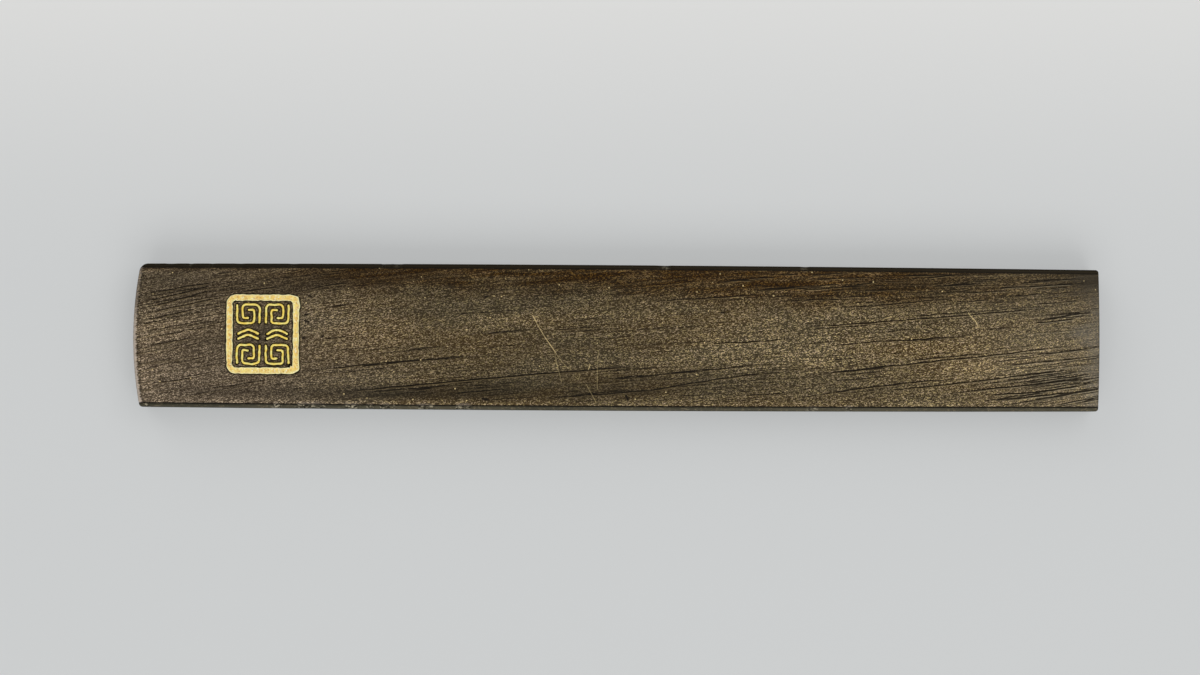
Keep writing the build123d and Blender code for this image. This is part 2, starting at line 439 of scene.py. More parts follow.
def carve_grain(stations, rows, half):
    """Depth of the grain at each station and row, and how bright the burr beside each cut is: a
    painted highlight on the lower side of each cut.
    """
    rng = random.Random(3)
    depth = np.zeros((len(stations), len(rows)))
    burr = np.zeros_like(depth)

    def carve(start, end, height_at, deepest, width):
        columns = np.nonzero((stations >= start) & (stations <= end))[0]
        if len(columns) < 3:
            return
        x = stations[columns]
        y = height_at(x) + wander(rng, x, *LINE_SWAY)
        taper = np.clip(np.minimum(x - start, end - x) / (0.25 * (end - start)), 0.15, 1)
        strength = deepest * taper * (1 + wander(rng, x, *DEPTH_SWAY))
        nearest = np.searchsorted(rows, y / half[columns])
        for step in range(-6, 7):
            lane = np.clip(nearest + step, 0, len(rows) - 1)
            gap = rows[lane] * half[columns] - y
            cut = strength * np.clip(1 - np.square(gap / width), 0, 1)
            depth[columns, lane] = np.maximum(depth[columns, lane], cut)
            # A painted highlight on the burr, on the lower side of the cut, towards the key light
            burr_highlight = strength * np.exp(-np.square((gap + 1.5 * width) / (0.7 * width)))
            burr[columns, lane] = np.maximum(burr[columns, lane], burr_highlight)

    for deepest, *points in GRAIN_LINES:
        through = np.polyfit(*np.transpose(points), min(len(points) - 1, 3))
        start, end = points[0][0], points[-1][0]
        carve(start, end, lambda x: np.polyval(through, x), deepest, LINE_HALF_WIDTH)

    for (x_low, x_high), (y_low, y_high), count, deepest, width, mean in BUNDLES:
        for _ in range(count):
            x0, y0 = rng.uniform(x_low, x_high), rng.uniform(y_low, y_high)
            long = mean * rng.uniform(0.4, 1.7)
            slope = float(grain_slope(x0, y0))
            carve(
                x0 - long / 2,
                x0 + long / 2,
                lambda x: y0 + slope * (x - x0),
                deepest * rng.uniform(0.4, 1.3),
                width * rng.uniform(0.8, 1.3),
            )
    return depth, burr


# Stretches of the face, each (x, y, reach along, reach across, amount at its middle).
# Lighter and darker patina:
PATCHES = (
    (-46.5, 0.6, 5, 1.3, 0.14),
    (-47.6, 1.2, 2, 1.4, 0.14),
    (-47.6, -5, 2.2, 1.8, 0.12),
    (-43, 4.8, 6, 1.8, -0.12),
    (-45, 6, 4.5, 0.9, -0.08),
    (-40.5, -0.8, 3, 1.8, -0.06),
    (-47.9, -2.9, 1.3, 2.2, 0.12),
    (-33, -3.6, 6, 1.2, -0.06),
    (-35.5, 0.15, 2.6, 2.9, -0.14),
    (-18.5, 2.2, 3.5, 3.2, -0.07),
    (-13, -2.9, 5, 0.7, -0.05),
    (-24, 0, 4, 1.4, 0.06),
    (-31, 4.8, 9, 0.9, -0.12),
    (-31, 5.9, 11, 0.9, -0.08),
    (-12, 4.9, 16, 1.1, -0.06),
    (-8, 3.3, 9, 1.3, -0.1),
    (-10, 1.9, 4, 0.8, 0.05),
    (-8, -0.7, 11, 1.9, -0.1),
    (-24, -2.3, 6, 1.2, -0.05),
    (-19, 5.8, 4, 0.8, -0.06),
    (-15, -5.1, 14, 1.3, -0.16),
    (3, -4.8, 12, 1.4, -0.16),
    (0.5, 3.3, 1.8, 1, -0.07),
    (7.5, 1.8, 5, 1.4, -0.06),
    (1, -1.2, 3.5, 1, -0.07),
    (14, -0.6, 8, 1.8, 0.05),
    (22, -1.6, 7, 1.6, 0.05),
    (24, -4.2, 10, 1.4, -0.06),
    (26, -5.6, 9, 0.8, -0.06),
    (36, 5.9, 7, 0.9, -0.1),
    (41, -2.4, 8, 1.5, 0.19),
    (46.5, -0.8, 1.6, 1.2, -0.07),
    (43, -0.6, 6, 1.8, 0.06),
    (47.6, -5.6, 3, 1.6, 0.2),
    (43, -5.4, 4.5, 0.8, 0.08),
    (47.8, 5.9, 3, 1.2, -0.24),
    (20.5, 5.3, 2, 0.7, 0.14),
    (26, 5.2, 4, 0.5, -0.08),
    (17.8, 6.3, 1.6, 0.1, 0.4),
    (-20.1, 5.55, 1.2, 0.1, 0.3),
)

# Hairlines of the grain standing close:
COMBED = (
    (-46, 1.5, 8, 4, 0.45),
    (-44, -4, 8, 3, 0.4),
    (-36, 4.5, 6, 2.5, 0.2),
    (-18, -4.6, 16, 1.6, 0.3),
    (8, -4.4, 10, 1.6, 0.3),
    (30, 5.2, 14, 1.8, 0.35),
    (26, -3.5, 10, 2.4, 0.15),
    (26, 1.6, 12, 1.2, 0.25),
    (44, -3.6, 8, 3, 0.65),
    (45, 2.2, 6, 1.6, 0.35),
)


def amber_and_shade(x, y):
    """How amber and dark the patina is towards the upper edge, clear of the butt: partly its own
    colour where hands rub less, partly painted shade on the side turned from the key light.
    """
    border = 5.3 - 0.9 * np.exp(-np.square((x - 20) / 20)) - 0.012 * (x + 48)
    ragged = y + 0.25 * np.sin(x * 0.7) + 0.15 * np.sin(x * 1.9)
    strip = smoothstep(border - 1.5, border + 1.3, ragged)
    along = smoothstep(-44, -26, x) * (1 - 0.45 * smoothstep(24, 42, x))
    rim = smoothstep(6.2, 6.8, y) * (1 - 0.6 * smoothstep(30, 44, x))
    return np.maximum(strip * along, 0.75 * rim)


def gathered(x, y, stretches, start):
    """The amounts of all the stretches added to the start, each lying along the grain."""
    total = np.full(x.shape, start)
    for px, py, along, across, amount in stretches:
        off = y - py - grain_slope(px, py) * (x - px)
        total += amount * np.exp(-np.square((x - px) / along) - np.square(off / across))
    return total


# ---- Knocks along the long edges: (middle, half length, depth)

# Their half lengths and depths, the height of the rim that a knock bends, and how much of its depth
# goes in, down, and into the face
KNOCK_REACH, KNOCK_DEPTH = (0.12, 0.6), (0.04, 0.15)
RIM_ZONE = 0.5
KNOCK_IN, KNOCK_DOWN, KNOCK_FACE = 0.8, 0.7, 0.6


def edge_knocks(seed, spread):
    """A row of small knocks between the given places."""
    rng = random.Random(seed)
    knocks = []
    for low, high, count in spread:
        for _ in range(count):
            knocks.append([rng.uniform(*span) for span in ((low, high), KNOCK_REACH, KNOCK_DEPTH)])
    return knocks


LOWER_KNOCKS = edge_knocks(21, ((-34, -15, 20), (-48, -34, 2), (-15, 48, 2)))
UPPER_KNOCKS = edge_knocks(8, ((-48, -38, 4), (-24, -19, 4), (-38, 48, 3)))


def knocked(x, knocks):
    """How deep the knocks go at x."""
    deepest = np.zeros_like(x)
    for middle, reach, depth in knocks:
        deepest = np.maximum(deepest, depth * np.clip(1 - ((x - middle) / reach) ** 2, 0, 1) ** 0.7)
    return deepest


# ---- Face plate


def face_plate(material):
    """The domed plate: grain, grooves for the gold, rounded edges, and its flat underside."""
    seal = (border_low[0] - SEAL_MARGIN, border_high[0] + SEAL_MARGIN)
    stations = spaced(
        (BUTT_X, BUTT_X + FACE_ROUND, 0.04),
        (BUTT_X + FACE_ROUND, BUTT_X + 3 * FACE_ROUND, 0.1),
        (BUTT_X + 3 * FACE_ROUND, seal[0], 0.2),
        (*seal, 0.055),
        (seal[1], FAN_X, 0.45),
        (FAN_X, MOUTH_X - FACE_ROUND, 0.3),
        (MOUTH_X - FACE_ROUND, MOUTH_X, 0.04),
    )
    half = half_width(stations) - SHEET
    edge = 1 - FACE_ROUND / (BELLY_WIDTH / 2)
    rows = spaced((-1, -edge, 0.0055), (-edge, edge, 0.0089), (edge, 1, 0.0055))
    y = rows[None, :] * half[:, None]
    x = bend_to_ends(stations[:, None], y)

    grain, burr = carve_grain(stations, rows, half)
    gap = np.full(x.shape, FAR)
    near_seal = (stations > seal[0]) & (stations < seal[1])
    gap[near_seal] = gold_gap(x[near_seal], y[near_seal])
    in_groove = 1 - smoothstep(0, GROOVE_EDGE, gap)
    # Painted shade: the face darkened close round the gold, as a shadow in the grooves beside it
    shade_beside_gold = 1 - smoothstep(0, GOLD_SHADE_REACH, gap)

    to_side = half[:, None] - np.abs(y)
    to_end = np.minimum(stations - BUTT_X, MOUTH_X - stations)[:, None]
    round_over = rise(FACE_ROUND, np.clip(FACE_ROUND - np.minimum(to_side, to_end), 0, FACE_ROUND))
    knock = np.where(y < 0, knocked(x, LOWER_KNOCKS), knocked(x, UPPER_KNOCKS))
    knock = knock * smoothstep(0.45, 0.05, to_side)
    crown_z = CROWN - rise(CROWN_RADIUS, y)
    fade = smoothstep(0.0, 0.5, np.minimum(to_side, to_end))
    z = crown_z - round_over - KNOCK_FACE * knock - grain * fade * (1 - in_groove)
    z = z + (GOLD_BOTTOM - crown_z) * in_groove

    below = spaced((-1, 1, 0.25))
    below_y = below[None, ::-1] * half[:, None]
    below_x = bend_to_ends(stations[:, None], below_y)
    below_z = np.full(below_y.shape, FACE_UNDERSIDE)
    grids = ((x, y, z), (below_x, below_y, below_z))
    points = [np.stack(grid, axis=-1).reshape(-1, 3) for grid in grids]
    top = np.arange(x.size).reshape(x.shape)
    under = x.size + np.arange(below_x.size).reshape(below_x.shape)
    faces = grid_faces(np.concatenate([top, under], axis=1), closed=True)
    for end in (0, -1):
        faces += stitch(top[end], rows, under[end][::-1], below)

    seam, worn, tone = face_wear(x, y, to_side, to_end, knock)
    top_marks = {
        "grain_depth": grain / MARKED_DEPTH,
        "burr": burr / MARKED_DEPTH,
        "seam": seam,
        "combed": gathered(x, y, COMBED, 0.3),
        "amber_and_shade": amber_and_shade(x, y),
        "shade_beside_gold": shade_beside_gold,
        "worn": worn,
        "tone": tone,
    }
    underside = dict.fromkeys(top_marks, 0.0) | {"tone": 0.5}
    marks = {
        name: np.append(values, np.full(below_x.size, underside[name]))
        for name, values in top_marks.items()
    }
    add_piece("face_plate", points, faces, material, ["front_plate"], marks)


def face_wear(x, y, to_side, to_end, knock):
    """The face's dirt along its seams, its bright worn edges, and its tone, lighter above 0.5; the
    butt's worn edge is partly a painted highlight, brightest low down, towards the key light.
    """
    ragged = to_end + 0.05 * np.sin(9 * y) + 0.04 * np.sin(23 * y)
    at_butt = x < 0
    # Worn butt edge, partly a painted highlight: brightest low down, on the side towards the key
    # light
    rubbed_and_lit_edge = (1 - smoothstep(0.2, 0.36, ragged)) * (1 - 0.7 * smoothstep(0.5, 3.5, y))
    worn = np.maximum(rubbed_and_lit_edge * at_butt, 0.2 * smoothstep(0.02, 0.1, knock) * (y < 0))
    behind_edge = smoothstep(0.3, 0.4, ragged) * smoothstep(0.7, 0.45, ragged)
    seam = (1 - smoothstep(0.05, 0.14, to_side)) * np.where(y > 0, 0.5, 1.0)
    seam = np.maximum(seam, 0.5 * behind_edge * at_butt)
    paler = 0.02 + 0.07 * np.exp(-np.square((x + 24) / 9))
    lower_rim = smoothstep(0.7, 0.3, to_side) * (y < 0) * paler
    lower_band = np.exp(-np.square((to_side - 1.15) / 0.6)) * (y < 0) * smoothstep(-47, -41, x)
    tone = gathered(x, y, PATCHES, 0.5) + lower_rim - 0.14 * lower_band * smoothstep(24, -24, x)
    return seam, worn, tone


def stitch(upper, upper_at, lower, lower_at):
    """Triangles between two rows of point numbers that run the same way, at unlike spacings."""
    triangles = []
    u = low = 0
    while u < len(upper) - 1 or low < len(lower) - 1:
        next_upper = upper_at[u + 1] if u < len(upper) - 1 else math.inf
        next_lower = lower_at[low + 1] if low < len(lower) - 1 else math.inf
        if next_upper <= next_lower:
            triangles.append((int(upper[u]), int(upper[u + 1]), int(lower[low])))
            u += 1
        else:
            triangles.append((int(upper[u]), int(lower[low + 1]), int(lower[low])))
            low += 1
    return triangles


# ---- Folded channel

# Where the rims have close points: along most of the knocks, and near each end
KNOCKED_STRETCH = (-31.5, -11.5)
END_STRETCH = 1.2


def channel_section():
    """Outer and inner points of the folded sheet from one rim to the other.

    Each row is (share of the half width, inset from the half width, height).
    """
    inner_radius = FOLD_RADIUS - SHEET
    outer, inner = [(1, SHEET - SEAM_DIRT, WALL_TOP)], [(1, SHEET, WALL_TOP)]
    for angle in np.linspace(0, math.pi / 2, 6):
        in_by, down_by = RIM_RADIUS * (1 - math.sin(angle)), RIM_RADIUS * (1 - math.cos(angle))
        outer.append((1, in_by, WALL_TOP - down_by))
        inner.append((1, SHEET, WALL_TOP - 0.02 - 0.5 * angle * RIM_RADIUS))
    for height in np.linspace(WALL_TOP - 2 * RIM_RADIUS, FOLD_RADIUS, 12):
        outer.append((1, 0, height))
        inner.append((1, SHEET, height))
    for angle in np.linspace(0, math.pi / 2, 9)[1:]:
        across, down = 1 - math.cos(angle), math.sin(angle)
        outer.append((1, FOLD_RADIUS * across, FOLD_RADIUS * (1 - down)))
        inner.append((1, SHEET + inner_radius * across, FOLD_RADIUS - inner_radius * down))
    for share in np.linspace(1, 0, 16)[1:]:
        outer.append((share, FOLD_RADIUS * share, 0))
        inner.append((share, FOLD_RADIUS * share, SHEET))
    return np.array(outer), np.array(inner)


def channel(material):
    """Back and both long sides in one folded sheet, its rims rounded and knocked."""
    outer, inner = channel_section()
    first_knock, last_knock = KNOCKED_STRETCH
    stations = spaced(
        (BUTT_X, BUTT_X + END_STRETCH, 0.15),
        (BUTT_X + END_STRETCH, first_knock, 0.4),
        (first_knock, last_knock, 0.1),
        (last_knock, MOUTH_X - END_STRETCH, 0.5),
        (MOUTH_X - END_STRETCH, MOUTH_X, 0.15),
    )
    half = half_width(stations)[:, None]

    def skin(profile, layer):
        share, inset, height = profile.T
        sides = []
        for side, knocks in ((1, UPPER_KNOCKS), (-1, LOWER_KNOCKS)):
            knock = knocked(stations, knocks)[:, None]
            bent = knock * smoothstep(WALL_TOP - RIM_ZONE, WALL_TOP, height)[None, :]
            y = side * (half * share[None, :] - inset[None, :] - KNOCK_IN * bent * (1 - layer))
            z = height[None, :] - KNOCK_DOWN * bent
            x = bend_to_ends(stations[:, None], y)
            sides.append(np.stack([x, y, z], axis=-1))
        return np.concatenate([sides[0], sides[1][:, ::-1][:, 1:]], axis=1)

    outside, inside = skin(outer, 0), skin(inner, 1)
    worn = channel_wear(stations, outside)
    width = outside.shape[1]
    points = [np.concatenate([outside, inside[:, ::-1]], axis=1).reshape(-1, 3)]
    index = np.arange(len(points[0])).reshape(len(stations), -1)
    faces = grid_faces(index, closed=True)
    layers = np.linspace(0, 1, 6)[1:-1, None, None]
    total = index.size
    for end, order in ((0, 1), (-1, -1)):
        wall = outside[end] + (inside[end] - outside[end]) * layers
        wall[..., 0] = bend_to_ends(stations[end], wall[..., 1])
        points.append(wall.reshape(-1, 3))
        middle = total + np.arange(len(points[-1])).reshape(-1, width)
        total += middle.size
        cap = np.vstack([index[end, :width], middle, index[end, ::-1][:width]])
        faces += grid_faces(cap[::order])
    seam, wear = np.zeros((2, total))
    seam[index[:, [width, -1]]] = 1
    wear[index[:, :width]] = worn
    marks = {"seam": seam, "worn": wear}
    add_piece(
        "channel", points, faces, material, ["back_channel"], marks, bevel=WORN_EDGE
    )


def channel_wear(stations, outside):
    """How brightly each point of the outer skin is worn: round the knocks and along the rims."""
    height = smoothstep(WALL_TOP - 0.45, WALL_TOP - 0.1, outside[..., 2])
    upper = 0.3 * knocked(stations, UPPER_KNOCKS)[:, None]
    lower = knocked(stations, LOWER_KNOCKS)[:, None]
    knock = np.where(outside[..., 1] > 0, upper, lower)
    return smoothstep(0.01, 0.08, knock) * (1 - 0.7 * smoothstep(0.08, 0.14, knock)) * height


# ---- End plates


def cavity_loop(width):
    """The outline of the hollow at an end of the handle, which its end plate fills."""
    inner_radius = FOLD_RADIUS - SHEET
    return rounded_loop(
        (-width / 2 + SHEET, SHEET),
        (width / 2 - SHEET, FACE_UNDERSIDE),
        (inner_radius, inner_radius, 0.03, 0.03),
        (40, 12),
    )


def butt_cap(material):
    """The slab that closes the butt, curved as the butt is."""
    loop = cavity_loop(BUTT_WIDTH)
    middle = loop.mean(axis=0)
    scales = (0.05, 0.3, 0.6, 0.85, 1.0)
    points = []
    for inward, ring_scales in ((0, scales), (END_PLATE, scales[::-1])):
        for scale in ring_scales:
            ring = middle + (loop - middle) * scale
            x = BUTT_X + butt_setback(ring[:, 0]) + inward
            points.append(np.column_stack([x, ring]))
    rings = np.arange(len(points) * len(loop)).reshape(len(points), -1)
    faces = grid_faces(rings, closed=True) + [rings[0].tolist(), rings[-1].tolist()[::-1]]
    add_piece("butt_end", points, faces, material, ["butt_cap"], bevel=WORN_EDGE)


def mouth_end(material):
    """The plate across the mouth with its slot for the tang."""
    outer = cavity_loop(MOUTH_WIDTH)
    height = (SHEET + FACE_UNDERSIDE) / 2
    slot = rounded_loop(
        (-SLOT_WIDTH / 2, height - SLOT_HEIGHT / 2),
        (SLOT_WIDTH / 2, height + SLOT_HEIGHT / 2),
        (SLOT_CORNER,) * 4,
        (40, 12),
    )
    points = []
    for loop, inward in ((outer, 0), (slot, 0), (slot, END_PLATE), (outer, END_PLATE)):
        x = MOUTH_X - mouth_setback(loop[:, 0]) - inward
        points.append(np.column_stack([x, loop]))
    rings = np.arange(len(points) * len(outer)).reshape(-1, len(outer))
    faces = grid_faces(np.concatenate([rings, rings[:1]]), closed=True)
    add_piece(
        "mouth_end", points, faces, material, ["mouth_plate"], bevel=SLOT_WORN_EDGE
    )


# ---- Gold


def mirrored(*half_section):
    """A section across a strip from one half of it.

    Each point is (how far out, from 1 at one edge to -1 at the other; how far below the top).
    """
    return [*half_section, *((-out, drop) for out, drop in half_section[::-1] if out)]


DENT_WAVES = (19, 31, 47)


def seal_border(material):
    """The hammered gold ring: a rounded band of uneven width with burrs at its corners."""
    rng = random.Random(17)
    normal = -side_of(BORDER, closed=True)
    share = np.arange(len(BORDER)) / len(BORDER)
    across = mirrored(
        (1.0, FAR), (1.0, 0.06), (0.97, 0.02), (0.86, 0.0), (0.68, 0.012), (0.2, 0.018)
    )
    loops = []
    for out, drop in across:
        reach = np.where(out > 0, BORDER_OUT, BORDER_IN) * out
        xy = BORDER + normal * reach[:, None]
        dome = GOLD_TOP - rise(CROWN_RADIUS, xy[:, 1]) - BORDER_SUNK
        dents = sum(0.006 * np.sin(math.tau * (share * n + rng.random())) for n in DENT_WAVES)
        z = np.maximum(dome + dents * (abs(out) < 0.95) - drop, GOLD_BOTTOM)
        loops.append(np.column_stack([xy, z]))
    index = np.arange(len(across) * len(BORDER)).reshape(len(across), -1)
    faces = grid_faces(np.concatenate([index, index[:1]])[::-1], closed=True)
    rim = smoothstep(0.6, 0.86, np.abs([out for out, _ in across]))
    marks = {"burnished": np.repeat(rim, len(BORDER))}
    add_piece("seal_border_gold", loops, faces, material, ["seal_border"], marks)


def seal_wire(number, material):
    """One gold wire, hammered flush: a rounded ribbon with rounded ends."""
    rng = random.Random(100 + number)
    line, half = WIRES[number - 1]
    normal = side_of(line)
    at = np.arange(len(line)) * WIRE_STEP
    lift = wander(rng, at, 0.9, 0.006)
    half_section = ((1.0, FAR), (1.0, 0.07), (0.85, 0.025), (0.45, 0.004))
    rows = []
    for out, drop in mirrored(*half_section, (0, 0)):
        xy = line + normal * (half * out)[:, None]
        dome = GOLD_TOP - rise(CROWN_RADIUS, xy[:, 1]) - WIRE_SUNK
        rows.append(np.column_stack([xy, np.maximum(dome + lift - drop, GOLD_BOTTOM)]))
    loops = np.stack(rows, axis=1)
    index = np.arange(loops.shape[0] * loops.shape[1]).reshape(loops.shape[:2])
    faces = grid_faces(index, closed=True)
    faces += [index[0].tolist()[::-1], index[-1].tolist()]
    name = f"seal_wire_{number:02d}"
    add_piece(f"{name}_gold", loops, faces, material, [name])


# ---- Materials


class Shader:
    """Short calls for building one material's nodes."""

    def __init__(self, name):
        self.material = bpy.data.materials.new(name)
        self.material.use_nodes = True
        self.tree = self.material.node_tree
        self.surface = self.tree.nodes["Principled BSDF"]
        self.colour = None

    def node(self, kind, *inputs, **named):
        """A node with its inputs fed in order, or by name, and its settings, in lower case."""
        made = self.tree.nodes.new(f"ShaderNode{kind}")
        for name, value in named.items():
            if name.islower():
                setattr(made, name, value)
            elif value is not None:
                self.feed(made.inputs[name], value)
        for socket, value in zip(made.inputs, inputs):
            self.feed(socket, value)
        return made

    def feed(self, socket, value):
        """Links or sets one socket."""
        if isinstance(value, bpy.types.NodeSocket):
            self.tree.links.new(value, socket)
        else:
            socket.default_value = value

    def millimetres(self):
        """Object coordinates in millimetres."""
        return self.vector("MULTIPLY", self.node("TexCoord").outputs["Object"], (1 / MM,) * 3)

    def mark(self, name):
        """A float stored on the mesh's points."""
        return self.node("Attribute", attribute_name=name).outputs["Fac"]

    def math(self, operation, *values):
        """Arithmetic on one or two numbers."""
        return self.node("Math", *values, operation=operation).outputs[0]

    def times(self, first, *others):
        """Numbers multiplied together."""
        for other in others:
            first = self.math("MULTIPLY", first, other)
        return first

    def most(self, first, *others):
        """The highest of some numbers."""
        for other in others:
            first = self.math("MAXIMUM", first, other)
        return first

    def vector(self, operation, *values, scale=None):
        """Arithmetic on vectors; a distance or a dot product comes out as a number."""
        made = self.node("VectorMath", *values, operation=operation, Scale=scale)
        return made.outputs["Value" if operation in ("DISTANCE", "DOT_PRODUCT") else "Vector"]

    def parts(self, vector):
        """A vector's X, Y and Z."""
        return self.node("SeparateXYZ", vector).outputs

    def stretch(self, vector, x, y, z=1.0):
        """The vector scaled apart along its axes."""
        return self.vector("MULTIPLY", vector, (x, y, z))

    def noise(self, vector, scale, detail=3.0, roughness=0.5):
        """Noise from 0 to 1, about 0.5."""
        made = self.node("TexNoise", Vector=vector, Scale=scale, Detail=detail, Roughness=roughness)
        return made.outputs["Fac"]

    def cells(self, vector, scale):
        """Two random numbers from 0 to 1 in each small cell, and the distance to its middle."""
        made = self.node("TexVoronoi", Vector=vector, Scale=scale)
        split = self.node("SeparateColor", made.outputs["Color"])
        return split.outputs[0], split.outputs[1], made.outputs["Distance"]

    def fit(self, value, low, high, to_low=0.0, to_high=1.0):
        """The value taken from one range to another and held at its ends."""
        made = self.node("MapRange", value, low, high, to_low, to_high)
        made.interpolation_type = "SMOOTHSTEP" if to_low == 0.0 and to_high == 1.0 else "LINEAR"
        return made.outputs[0]

    def blend(self, factor, first, second, kind="MIX"):
        """Two colours mixed, each from a node or as 0 to 255 screen values."""
        made = self.node("Mix", data_type="RGBA", blend_type=kind)
        for name, value in (("Factor_Float", factor), ("A_Color", first), ("B_Color", second)):
            socket = next(s for s in made.inputs if s.identifier == name)
            self.feed(socket, tint(*value) if isinstance(value, tuple) else value)
        return next(s for s in made.outputs if s.identifier == "Result_Color")

    def bump(self, height, strength, distance):
        """A normal from heights given in units of the distance, in millimetres."""
        distance *= MM
        return self.node("Bump", Strength=strength, Distance=distance, Height=height).outputs[0]

    def lay(self, factor, colour, kind="MIX"):
        """Lays a colour over the colour so far, where and as much as the factor says."""
        self.colour = self.blend(factor, self.colour, colour, kind)

    def finish(self, **inputs):
        """Feeds the surface its colour and other inputs, and gives back the material."""
        for name, value in {"base_color": self.colour, **inputs}.items():
            title = name.replace("_", " ").title().replace("Ior", "IOR")
            self.feed(self.surface.inputs[title], value)
        return self.material


def tint(red, green, blue):
    """A colour from its 0 to 255 screen values."""
    channels = []
    for value in (red, green, blue):
        v = value / 255
        channels.append(v / 12.92 if v <= 0.04045 else ((v + 0.055) / 1.055) ** 2.4)
    return (*channels, 1.0)


def grain_coordinates(s, at):
    """Coordinates whose X runs with the grain, as grain_slope has it."""
    x, y, z = s.parts(at)
    off = s.math("SUBTRACT", x, 8)
    cube = s.times(off, off, off)
    drop = s.math("ADD", s.times(x, 0.066), s.times(cube, 1.4e-5))
    past = s.most(s.math("SUBTRACT", x, 24), 0)
    fan = s.times(past, y, 0.009)
    meander = s.times(s.noise(s.stretch(at, 0.16, 0.3), 1, 1), 0.7)
    across = s.math("ADD", s.math("ADD", s.math("SUBTRACT", y, drop), fan), meander)
    return s.node("CombineXYZ", x, across, z).outputs[0]


def strands(s, grain, along, across, half_width):
    """One hairline with the grain through each long cell: its darkness, and a painted highlight on
    the ridge beside it.
    """
    drawn = s.stretch(grain, along, across)
    cell = s.node("TexVoronoi", voronoi_dimensions="2D", Vector=drawn, Scale=1)
    reach, gap, _ = s.parts(s.vector("SUBTRACT", drawn, cell.outputs["Position"]))
    gap = s.math("DIVIDE", gap, across)
    level = s.node("SeparateColor", cell.outputs["Color"]).outputs[0]
    strength = s.times(s.fit(s.math("ABSOLUTE", reach), 0.25, 0.6, 1, 0), s.fit(level, 0.1, 0.6))
    cut = s.fit(s.math("ABSOLUTE", gap), 0.3 * half_width, half_width, 1, 0)
    ridge_highlight = s.math("ABSOLUTE", s.math("ADD", gap, 2.0 * half_width))
    ridge_highlight = s.fit(ridge_highlight, 0.2 * half_width, 1.3 * half_width, 1, 0)
    return s.times(cut, strength), s.times(ridge_highlight, strength)


# Scratches through the patina: points along each
SCRATCHES = (
    ((-8.4, 2.2), (-7.9, 1.2), (-7.1, -0.1), (-6.1, -1.5)),
    ((-2.6, -2.7), (-2.8, -3.2)),
    ((35.3, 2.7), (35.6, 2.3), (36, 1.9), (36.3, 1.3), (36, 1.2)),
)

FAINT_SCRATCHES = (
    ((-6.2, -1.4), (-5.5, -2.4), (-4.8, -3.1)),
    ((-6.2, -1.4), (-6, -2.5), (-5.5, -4.4)),
    ((-4.3, -3.8), (-3.8, -4.2), (-3.6, -3.7)),
    ((-1.8, -1.3), (-1.9, -3), (-1.9, -5.2)),
    ((-3, -4.7), (-2, -6.5)),
    ((22.3, 2.9), (23.2, 2.4)),
    ((24.3, -0.3), (24.3, -1.6)),
    ((23.6, -1.7), (24.3, -2.4), (24.5, -3)),
    ((22.1, -1.3), (23.2, -2.4)),
    ((25.2, -2.8), (25.3, -2.8)),
    ((12.5, -4.1), (12.7, -4.1)),
    ((13.9, -1.2), (14, -1.2)),
    ((44.6, 4.9), (44.8, 4.9)),
    ((-33.2, -0.4), (-31.6, -0.3)),
)

# Casting pits: each a short line
PITS = (
    ((10.5, 2.6), (10.8, 2.6)),
    ((-30.9, 4), (-30.7, 4)),
    ((-31.3, 2.1), (-31, 2.2)),
    ((-31.2, 1.5), (-30.9, 1.4)),
    ((-29.6, -0.1), (-29.4, 0)),
    ((-31.5, -0.2), (-31.3, -0.2)),
    ((-13.3, 4), (-12.9, 4.1)),
    ((-13.4, -6.2), (-12.9, -6.3)),
    ((1, -5.8), (1.2, -6.2)),
)


# How far a scratch or pit strays from its points
SHAKE = 0.08


def gap_to(s, at, lines):
    """Distance from the nearest of some lines drawn on the face, in millimetres."""
    flat = s.stretch(at, 1, 1, 0)
    shake = s.noise(at, 1.1, 2)
    nearest = None
    for points in lines:
        for start, end in zip(points, points[1:]):
            along = Vector((end[0] - start[0], end[1] - start[1], 0))
            from_start = s.vector("SUBTRACT", flat, (*start, 0))
            share = s.vector("DOT_PRODUCT", from_start, tuple(along / along.length_squared))
            held = s.node("Clamp", share).outputs[0]
            reach = s.vector("SCALE", tuple(along), scale=held)
            gap = s.vector("DISTANCE", from_start, reach)
            nearest = gap if nearest is None else s.math("MINIMUM", nearest, gap)
    return s.math("ADD", nearest, s.times(s.math("SUBTRACT", shake, 0.5), SHAKE))


